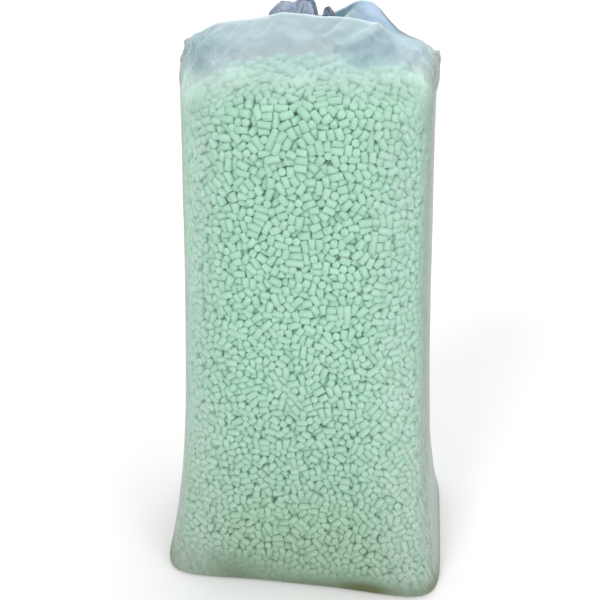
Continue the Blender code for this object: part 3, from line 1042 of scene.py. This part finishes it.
def filmMasks(flat, angle, zone, share):
    # How much of each finish there is at each point, from 0 to 1
    x, y, height = flat.T

    def rise(name, value):
        return smoothstep(*marks[name], value)

    def fall(name, value):
        return 1.0 - rise(name, value)

    def waver(name):
        size, scale, seed = marks[name]
        return size * filmNoise(flat, scale, seed)

    onPanel, inValley = zone == panelZone, zone == valleyZone
    behind = (onPanel | inValley) & (y > 0)
    halfWidth, halfDepth = sectionSizes(np.minimum(height, bag["bodyHeight"]), 0.0)[:2]
    across = np.abs(x - bodyLean(height)) / halfWidth
    outward = np.minimum(across, np.abs(y) / halfDepth)
    empty = rise("empty", height + waver("emptyWaver"))
    foot = marks["hazeFoot"] - marks["leftSag"] * fall("leftSagX", x)
    foot = foot - marks["rightSag"] * rise("rightX", x) - marks["backSag"] * rise("backY", y)
    haze = rise("haze", height - foot + waver("hazeWaver"))
    peak = rise("peakX", x) * rise("peakHeight", height)
    haze = haze * np.where(onPanel & (y > 0), 1.0 - marks["peakHaze"] * peak, 1.0)
    haze = haze * np.where(inValley, marks["valleyHaze"], 1.0)
    # painted shade: beside the fold, in patches, in the front left corner, and on the film behind,
    # left of the peak
    beside, along = fromLine(flat, *marks["foldLine"])
    paintedShade = rise("foldEdge", -beside) * fall("foldFade", -beside)
    paintedShade = paintedShade * rise("foldStart", along) * fall("foldEnd", along)
    paintedShade = marks["foldShade"] * paintedShade * rise("foldHeight", height)
    patchWaver = waver("patchWaver")
    for middle, level, halfAcross, halfUp in marks["patches"]:
        reach = np.hypot((x - middle) / halfAcross, (height - level) / halfUp)
        paintedShade = np.maximum(paintedShade, marks["patchShade"] * fall("patchEdge", reach + patchWaver))
    corner = marks["cornerShade"] * fall("cornerX", x) * rise("cornerHeight", height)
    paintedShade = np.where(onPanel & (y < 0), np.maximum(paintedShade, corner), 0.0)
    hollow = rise("hollowStart", x) * fall("hollowEnd", x) * rise("hollowHeight", height)
    paintedShade = np.where(behind, hollow, paintedShade)
    # painted shade where the film turns under at the floor
    baseShadeEnd = marks["baseShadeEnd"] - marks["baseShadeDrop"] * rise("baseShadeX", x)
    underShade = 1.0 - smoothstep(marks["baseShadeStart"], baseShadeEnd, height)
    # painted shade: darker grey along the sides, where the film turns away from the front
    edges = rise("edge", across) * (zone < valleyZone)
    creased = marks["creasedLeft"] * fall("creasedX", x) + marks["creasedRight"] * rise("rightX", x)
    creased = np.maximum(creased * rise("creasedHeight", height), marks["creasedEdges"] * edges)
    # painted sheen on the rounded corners of the body, with painted highlight streaks on them
    sides = rise("side", outward) * (zone < panelZone)
    band = marks["bandShade"] * rise("bandStart", share) * fall("bandEnd", share)
    band = np.maximum(band, rise("rightTuftX", x))
    # the crest ring: the rim mask paints a pale highlight along it, and on the pleat ridges of the
    # valley
    rim = (onPanel & (share == 1.0)).astype(float)
    pleats = marks["pleat"] * rise("pleatRise", share) * pleatsAt(angle)
    pleats = np.where(y > 0, marks["backPleat"] * pleats, pleats)
    masks = {
        "empty": empty,
        "haze": haze,
        "tail": zone >= neckZone,
        "paintedShade": paintedShade,
        "edges": edges,
        "peak": peak * behind,
        "baseShade": underShade * (marks["baseShadeStrength"] + waver("baseShadeWaver")),
        "creased": creased * (zone < neckZone),
        "sides": sides,
        "streaked": sides * (marks["streaked"] + waver("streakWaver")),
        "tailBand": np.where(zone == tailZone, band, 0.0),
        "rim": np.maximum(marks["rim"] * rim, np.where(inValley, pleats, 0.0)),
        "shoulderRim": rim * rise("shoulderRimX", x),
    }
    return {name: np.clip(mask, 0.0, 1.0) for name, mask in masks.items()}


def makeFilm(material):
    angle = (np.arange(film["steps"]) + 0.5) * 2 * math.pi / film["steps"]
    rings, zones = filmRings(angle)
    normals = ringNormals(rings)
    flat = rings.reshape(-1, 3)
    zone = np.repeat(zones[:, 0], film["steps"])
    share = np.repeat(zones[:, 1], film["steps"])
    height = flat[:, 2]
    # crumples of the empty film: none where the fill holds it, most between shoulder and crest
    inPanel = smoothstep(*film["panelRise"], share)
    inPanel = inPanel * (1.0 - film["crestHold"] * smoothstep(*film["panelFall"], share))
    least, added = film["valleySlack"]
    inValley = least + added * np.sin(math.pi * share)
    inValley = inValley * (1.0 - smoothstep(*film["valleyFall"], share))
    inTail = film["tailSlack"] * smoothstep(*film["tailRise"], share)
    places = [zone == panelZone, zone == valleyZone, zone == tailZone]
    loosened = np.select(places, [inPanel, inValley, inTail], 0.0)
    ridges = film["crumple"] * crossedNoise(flat, *film["crumpleNoises"])
    fine = film["fineCrumple"] * crossedNoise(flat, *film["fineNoises"])
    move = loosened * film["crumpleGain"] * (ridges + fine)
    for start, end, width, rise in film["folds"]:
        beside, along = fromLine(flat, start, end)
        crest = np.exp(-(beside / width) ** 2) * smoothstep(*film["foldStart"], along)
        crest = crest * (1.0 - smoothstep(*film["foldEnd"], along))
        move = move + rise * crest * (flat[:, 1] < 0) * (zone == panelZone)
    slack = film["bodySlack"] * np.clip(filmNoise(flat, *film["bodySlackNoise"]), 0.0, 1.0)
    slack = slack * smoothstep(*film["bodySlackRise"], height)
    move = move + np.where(zone == bodyZone, slack, 0.0)
    flat = flat + normals.reshape(-1, 3) * move[:, None]
    masks = filmMasks(flat, np.tile(angle, len(rings)), zone, share)
    mesh = loftMesh("film_skin", list(flat.reshape(rings.shape)), attributes=masks.items())
    mesh.shade_smooth()
    piece = addPiece("film_skin", mesh, material)
    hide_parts("film_bag")
    return piece


clearFilm = {
    "bodyColor": (0.37, 0.57, 0.46),
    # where the film stands off the fill: partly its own haze, partly painted sheen and light from
    # above
    "hazeAndSheenColor": (0.76, 0.97, 0.88),
    "emptyColor": (0.55, 0.70, 0.74),
    # painted shade: the dark inner face of the film, for the shaded inside of the bag
    "innerShadeColor": (0.13, 0.17, 0.21),
    # painted shade for the fold, the patches, the corner and the hollow
    "shadeColor": (0.12, 0.21, 0.26),
    # painted sheen on the corners of the body
    "sideSheenColor": (0.41, 0.57, 0.50),
    # painted shade along the sides of the body
    "edgeShadeColor": (0.23, 0.28, 0.25),
    # painted bluish sheen on the film behind, by the peak
    "peakSheenColor": (0.46, 0.64, 1.00),
    "tailColor": (0.42, 0.49, 0.63),
    "tailShade": (0.08, 0.11, 0.15),
    # painted highlight on the crease lines
    "creaseHighlightColor": (0.80, 0.90, 0.93),
    # painted highlight streaks on the corners of the body
    "streakHighlightColor": (0.64, 0.73, 0.69),
    # painted highlight along the crest and on the pleat ridges
    "rimHighlightColor": (0.58, 0.71, 0.75),
    "shoulderRimColor": (0.20, 0.25, 0.19),
    # painted shade at the foot of the bag
    "baseShadeColor": (0.095, 0.108, 0.048),
    "bodyAlpha": 0.15,
    "hazeAlpha": 0.24,
    "innerShadeAlpha": 0.40,
    "patchAlpha": 0.54,
    "sideAlpha": 0.11,
    "edgeAlpha": 0.41,
    "peakSheenAlpha": 0.16,
    "tailAlpha": 0.26,
    "grazingAlpha": 0.60,
    "creaseAlpha": 0.07,
    "streakAlpha": 0.15,
    "rimHighlightAlpha": 0.11,
    "baseShadeAlpha": 0.80,
    "shadowShare": 0.16,
    "roughness": 0.34,
    "gloss": 0.20,
    "facingPower": 2.3,
    "patchUneven": (0.35, 0.6),
    "patchLeast": 0.8,
    "tailLines": (0.15, 0.75),
    "tailLineShare": 0.75,
    "peakSheenShare": 0.60,
    "creaseHighlightShare": 0.65,
    "reliefStrength": 0.5,
    "reliefHeight": 0.0015,
    # the patterns of creases: lines a metre along x, y and z, a turn and how thin the lines are
    "crease": {"Stretch": (80.0, 80.0, 13.0), "Sharpness": 26.0},
    "shadePatch": {"Stretch": (260.0, 260.0, 170.0), "Sharpness": 5.0},
    "streak": {"Stretch": (95.0, 95.0, 7.0), "Turn": (0.0, 0.5, 0.0), "Sharpness": 9.0},
    "tail": {"Stretch": (170.0, 170.0, 45.0), "Sharpness": 8.0},
}


def makeClearFilm():
    material, tree, shader = newMaterial("clearFilm")
    patterns = {name: useGroup(tree, crinkleGroup, **clearFilm[name]).outputs
                for name in ("crease", "shadePatch", "streak", "tail")}
    names = ("empty", "haze", "tail", "paintedShade", "baseShade", "creased", "sides", "edges", "peak",
             "streaked", "tailBand", "rim", "shoulderRim")
    masks = {name: attribute(tree, name) for name in names}
    inside = addNode(tree, "ShaderNodeNewGeometry").outputs["Backfacing"]
    # painted shade: the inner face of the film is dark where it stands off the fill
    innerShade = times(tree, inside, masks["haze"])
    # painted shade in broad soft patches, and beside the fold
    least = clearFilm["patchLeast"]
    uneven = smoothRange(tree, patterns["shadePatch"]["Broad"], *clearFilm["patchUneven"])
    uneven = mathNode(tree, "ADD", times(tree, uneven, 1.0 - least), least)
    shadePatch = times(tree, uneven, masks["paintedShade"])
    crease = times(tree, patterns["crease"]["Creases"], masks["creased"])
    streak = times(tree, patterns["streak"]["Creases"], masks["streaked"])
    onTail = times(tree, patterns["crease"]["Creases"], masks["tail"])
    onTail = times(tree, patterns["tail"]["Broad"], onTail)
    crease = mathNode(tree, "MAXIMUM", crease, onTail)
    tailShade = smoothRange(tree, patterns["tail"]["Creases"], *clearFilm["tailLines"])
    tailShade = times(tree, times(tree, tailShade, masks["tail"]), clearFilm["tailLineShare"])
    tailShade = mathNode(tree, "MAXIMUM", tailShade, masks["tailBand"])
    # painted bluish sheen on the film behind, by the peak
    peak = times(tree, masks["peak"], clearFilm["peakSheenShare"])
    # painted highlight: the crease lines are paler
    creaseHighlight = times(tree, crease, clearFilm["creaseHighlightShare"])
    color = clearFilm["bodyColor"]
    for share, layer in ((masks["haze"], "hazeAndSheenColor"), (masks["empty"], "emptyColor"),
                         (innerShade, "innerShadeColor"), (shadePatch, "shadeColor"),
                         (masks["sides"], "sideSheenColor"), (masks["edges"], "edgeShadeColor"),
                         (peak, "peakSheenColor"), (masks["tail"], "tailColor"),
                         (tailShade, "tailShade"), (creaseHighlight, "creaseHighlightColor"),
                         (streak, "streakHighlightColor"), (masks["rim"], "rimHighlightColor"),
                         (masks["shoulderRim"], "shoulderRimColor"),
                         (masks["baseShade"], "baseShadeColor")):
        color = mixColors(tree, share, color, clearFilm[layer])
    link(tree, color, shader.inputs["Base Color"])
    facing = addNode(tree, "ShaderNodeLayerWeight")
    facing.inputs["Blend"].default_value = 0.5
    grazing = mathNode(tree, "POWER", facing.outputs["Facing"], clearFilm["facingPower"])
    alpha = times(tree, grazing, clearFilm["grazingAlpha"])
    for share, amount in ((masks["haze"], "hazeAlpha"), (innerShade, "innerShadeAlpha"),
                          (shadePatch, "patchAlpha"), (masks["sides"], "sideAlpha"),
                          (masks["edges"], "edgeAlpha"), (masks["peak"], "peakSheenAlpha"),
                          (masks["tail"], "tailAlpha"), (tailShade, "patchAlpha"),
                          (crease, "creaseAlpha"), (streak, "streakAlpha"),
                          (masks["rim"], "rimHighlightAlpha"), (masks["baseShade"], "baseShadeAlpha")):
        alpha = mathNode(tree, "ADD", alpha, times(tree, share, clearFilm[amount]))
    alpha = mathNode(tree, "ADD", alpha, clearFilm["bodyAlpha"], clamp=True)
    # hazy film scatters light on to what lies under it, so it throws only a faint shadow
    shadowRay = addNode(tree, "ShaderNodeLightPath").outputs["Is Shadow Ray"]
    let = times(tree, shadowRay, 1.0 - clearFilm["shadowShare"])
    kept = mathNode(tree, "SUBTRACT", 1.0, let)
    link(tree, times(tree, alpha, kept), shader.inputs["Alpha"])
    shader.inputs["Roughness"].default_value = clearFilm["roughness"]
    shader.inputs["Specular IOR Level"].default_value = clearFilm["gloss"]
    relief = mathNode(tree, "ADD", crease, streak)
    relief = bump(tree, relief, clearFilm["reliefStrength"], clearFilm["reliefHeight"])
    link(tree, relief, shader.inputs["Normal"])
    return material


filmSkin = makeFilm(makeClearFilm())
print("film laid over the heap:", len(filmSkin.data.polygons), "faces")


# The tie: a toothed band pulled through a head, with its end cut to a stub, behind the front fold

tie = {
    "radius": 0.0167,
    "width": 0.005,
    "thickness": 0.0022,
    "teeth": 64,
    "toothDepth": 0.0003,
    "toothInset": 0.00015,
    "headSize": (0.0048, 0.0066, 0.0050),
    "stubSize": (0.0016, 0.0100, 0.0036),
    "headSink": 0.0012,
    "stubSink": 0.0008,
    "edgeRound": 0.0005,
    "headAngle": 118.0,
    "color": (0.84, 0.87, 0.86),
    "dullShare": 0.86,
    "grainScale": 900.0,
    "grainStrength": 0.15,
    "grainHeight": 0.0002,
    "roughness": 0.38,
    "seeThrough": 0.18,
    "glowDepth": (0.002, 0.002, 0.002),
}


def makeTiePlastic():
    material, tree, shader = newMaterial("tiePlastic")
    mottle = useGroup(tree, grainGroup, Scale=tie["grainScale"]).outputs["Mottle"]
    shade = tuple(tie["dullShare"] * value for value in tie["color"])
    link(tree, mixColors(tree, mottle, shade, tie["color"]), shader.inputs["Base Color"])
    shader.inputs["Roughness"].default_value = tie["roughness"]
    shader.inputs["Subsurface Weight"].default_value = tie["seeThrough"]
    shader.inputs["Subsurface Radius"].default_value = tie["glowDepth"]
    shader.inputs["Subsurface Scale"].default_value = 1.0
    relief = bump(tree, mottle, tie["grainStrength"], tie["grainHeight"])
    link(tree, relief, shader.inputs["Normal"])
    return material


def tieBlock(size, place, turn):
    deselectAll()
    bpy.ops.mesh.primitive_cube_add(size=1.0)
    block = bpy.context.object
    block.scale = size
    bpy.ops.object.transform_apply(scale=True)
    bpy.ops.object.mode_set(mode="EDIT")
    bpy.ops.mesh.select_all(action="SELECT")
    bpy.ops.mesh.bevel(offset=tie["edgeRound"], segments=2, affect="EDGES")
    bpy.ops.object.mode_set(mode="OBJECT")
    block.location = place
    block.rotation_euler = (0.0, 0.0, turn)
    return block


def makeTie(material):
    deselectAll()
    bpy.ops.mesh.primitive_cylinder_add(vertices=tie["teeth"] * 2, radius=tie["radius"],
                                        depth=tie["width"], end_fill_type="NOTHING")
    band = bpy.context.object
    bpy.ops.object.mode_set(mode="EDIT")
    bpy.ops.mesh.select_all(action="SELECT")
    bpy.ops.mesh.solidify(thickness=tie["thickness"])
    bpy.ops.mesh.normals_make_consistent(inside=False)
    bpy.ops.mesh.select_all(action="DESELECT")
    bpy.ops.object.mode_set(mode="OBJECT")
    # every other face of the inner side is sunk, which leaves the teeth
    for face in band.data.polygons:
        place = face.center.xy
        turn = math.degrees(math.atan2(place.y, place.x)) % 360.0
        facesIn = face.normal.xy.dot(place) < -0.5 * place.length
        face.select = facesIn and int(turn / 360.0 * tie["teeth"] * 2) % 2 == 0
    bpy.ops.object.mode_set(mode="EDIT")
    bpy.ops.mesh.select_mode(type="FACE")
    bpy.ops.mesh.inset(thickness=tie["toothInset"], depth=-tie["toothDepth"])
    bpy.ops.object.mode_set(mode="OBJECT")
    angle = math.radians(tie["headAngle"])
    outward = Vector((math.cos(angle), math.sin(angle), 0.0))
    aside = Vector((-math.sin(angle), math.cos(angle), 0.0))
    reach = tie["radius"] + tie["headSize"][0] / 2 - tie["headSink"]
    head = tieBlock(tie["headSize"], outward * reach, angle)
    past = (tie["headSize"][1] + tie["stubSize"][1]) / 2 - tie["stubSink"]
    stub = tieBlock(tie["stubSize"], outward * reach + aside * past, angle)
    deselectAll()
    for block in (head, stub, band):
        block.select_set(True)
    bpy.context.view_layer.objects.active = band
    bpy.ops.object.join()
    band.location = neckCentre()
    bpy.ops.object.transform_apply(location=True, rotation=True, scale=True)
    bpy.ops.object.shade_flat()
    band.name = "tie_band"
    band.data.materials.clear()
    band.data.materials.append(material)
    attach(band, "root")
    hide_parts("neck_tie")


makeTie(makeTiePlastic())
print("tie closed round the neck")


# Floor, light and camera

stage = {
    "floorSize": 60.0,
    "floorColor": 0.76,
    "floorRoughness": 0.9,
    "floorGap": 0.0006,
    "skyStrength": 0.66,
    "lens": 49.496,
    "sensorWidth": 36.0,
    "cameraPlace": (0.2049, -1.6158, 1.3707),
    "cameraTurn": (64.781, 0.0, 8.211),  # degrees
    "lights": {
        # where each comes from, what it is aimed at, its strength and how soft it is in degrees
        "key": ((-1.1, -2.2, 2.3), (0.0, 0.0, 0.6), 1.20, 22.0),
        "fill": ((2.0, -1.4, 1.5), (0.0, 0.0, 0.6), 0.98, 40.0),
        "top": ((0.1, 0.5, 2.9), (0.0, 0.0, 0.8), 1.30, 50.0),
        "rear": ((0.5, 2.6, 1.7), (0.0, 0.0, 0.6), 0.60, 40.0),
    },
}


def makeFloor():
    deselectAll()
    bpy.ops.mesh.primitive_plane_add(size=stage["floorSize"], location=(0, 0, -stage["floorGap"]))
    floor = bpy.context.object
    floor.name = "floor"
    material, _, shader = newMaterial("paleFloor")
    shader.inputs["Base Color"].default_value = (*[stage["floorColor"]] * 3, 1.0)
    shader.inputs["Roughness"].default_value = stage["floorRoughness"]
    shader.inputs["Specular IOR Level"].default_value = 0.0
    floor.data.materials.append(material)
    bpy.ops.object.transform_apply(location=True, rotation=True, scale=True)


def addLight(name, place, target, strength, softness):
    light = bpy.data.lights.new(name, "SUN")
    light.energy = strength
    light.angle = math.radians(softness)
    holder = bpy.data.objects.new(name, light)
    bpy.context.scene.collection.objects.link(holder)
    holder.location = place
    holder.rotation_euler = (Vector(target) - Vector(place)).to_track_quat("-Z", "Y").to_euler()


def makeWorld():
    # an even pale sky that the camera and reflections see as white
    world = bpy.data.worlds.new("studio")
    bpy.context.scene.world = world
    world.use_nodes = True
    tree = world.node_tree
    background = tree.nodes["Background"]
    rays = addNode(tree, "ShaderNodeLightPath")
    cameraRay, glossyRay = rays.outputs["Is Camera Ray"], rays.outputs["Is Glossy Ray"]
    seenRay = mathNode(tree, "MAXIMUM", cameraRay, glossyRay)
    seenRay = mathNode(tree, "MAXIMUM", seenRay, rays.outputs["Is Transmission Ray"])
    background.inputs["Color"].default_value = (1.0, 1.0, 1.0, 1.0)
    strength = times(tree, seenRay, 1.0 - stage["skyStrength"])
    link(tree, mathNode(tree, "ADD", strength, stage["skyStrength"]), background.inputs["Strength"])


def makeCamera():
    camera = bpy.data.cameras.new("camera")
    camera.lens = stage["lens"]
    camera.sensor_width = stage["sensorWidth"]
    holder = bpy.data.objects.new("camera", camera)
    bpy.context.scene.collection.objects.link(holder)
    holder.location = stage["cameraPlace"]
    holder.rotation_euler = [math.radians(turn) for turn in stage["cameraTurn"]]
    bpy.context.scene.camera = holder
    bpy.context.scene.view_settings.view_transform = "Standard"


makeFloor()
makeWorld()
for name, settings in stage["lights"].items():
    addLight(name, *settings)
makeCamera()

print("scene finished")
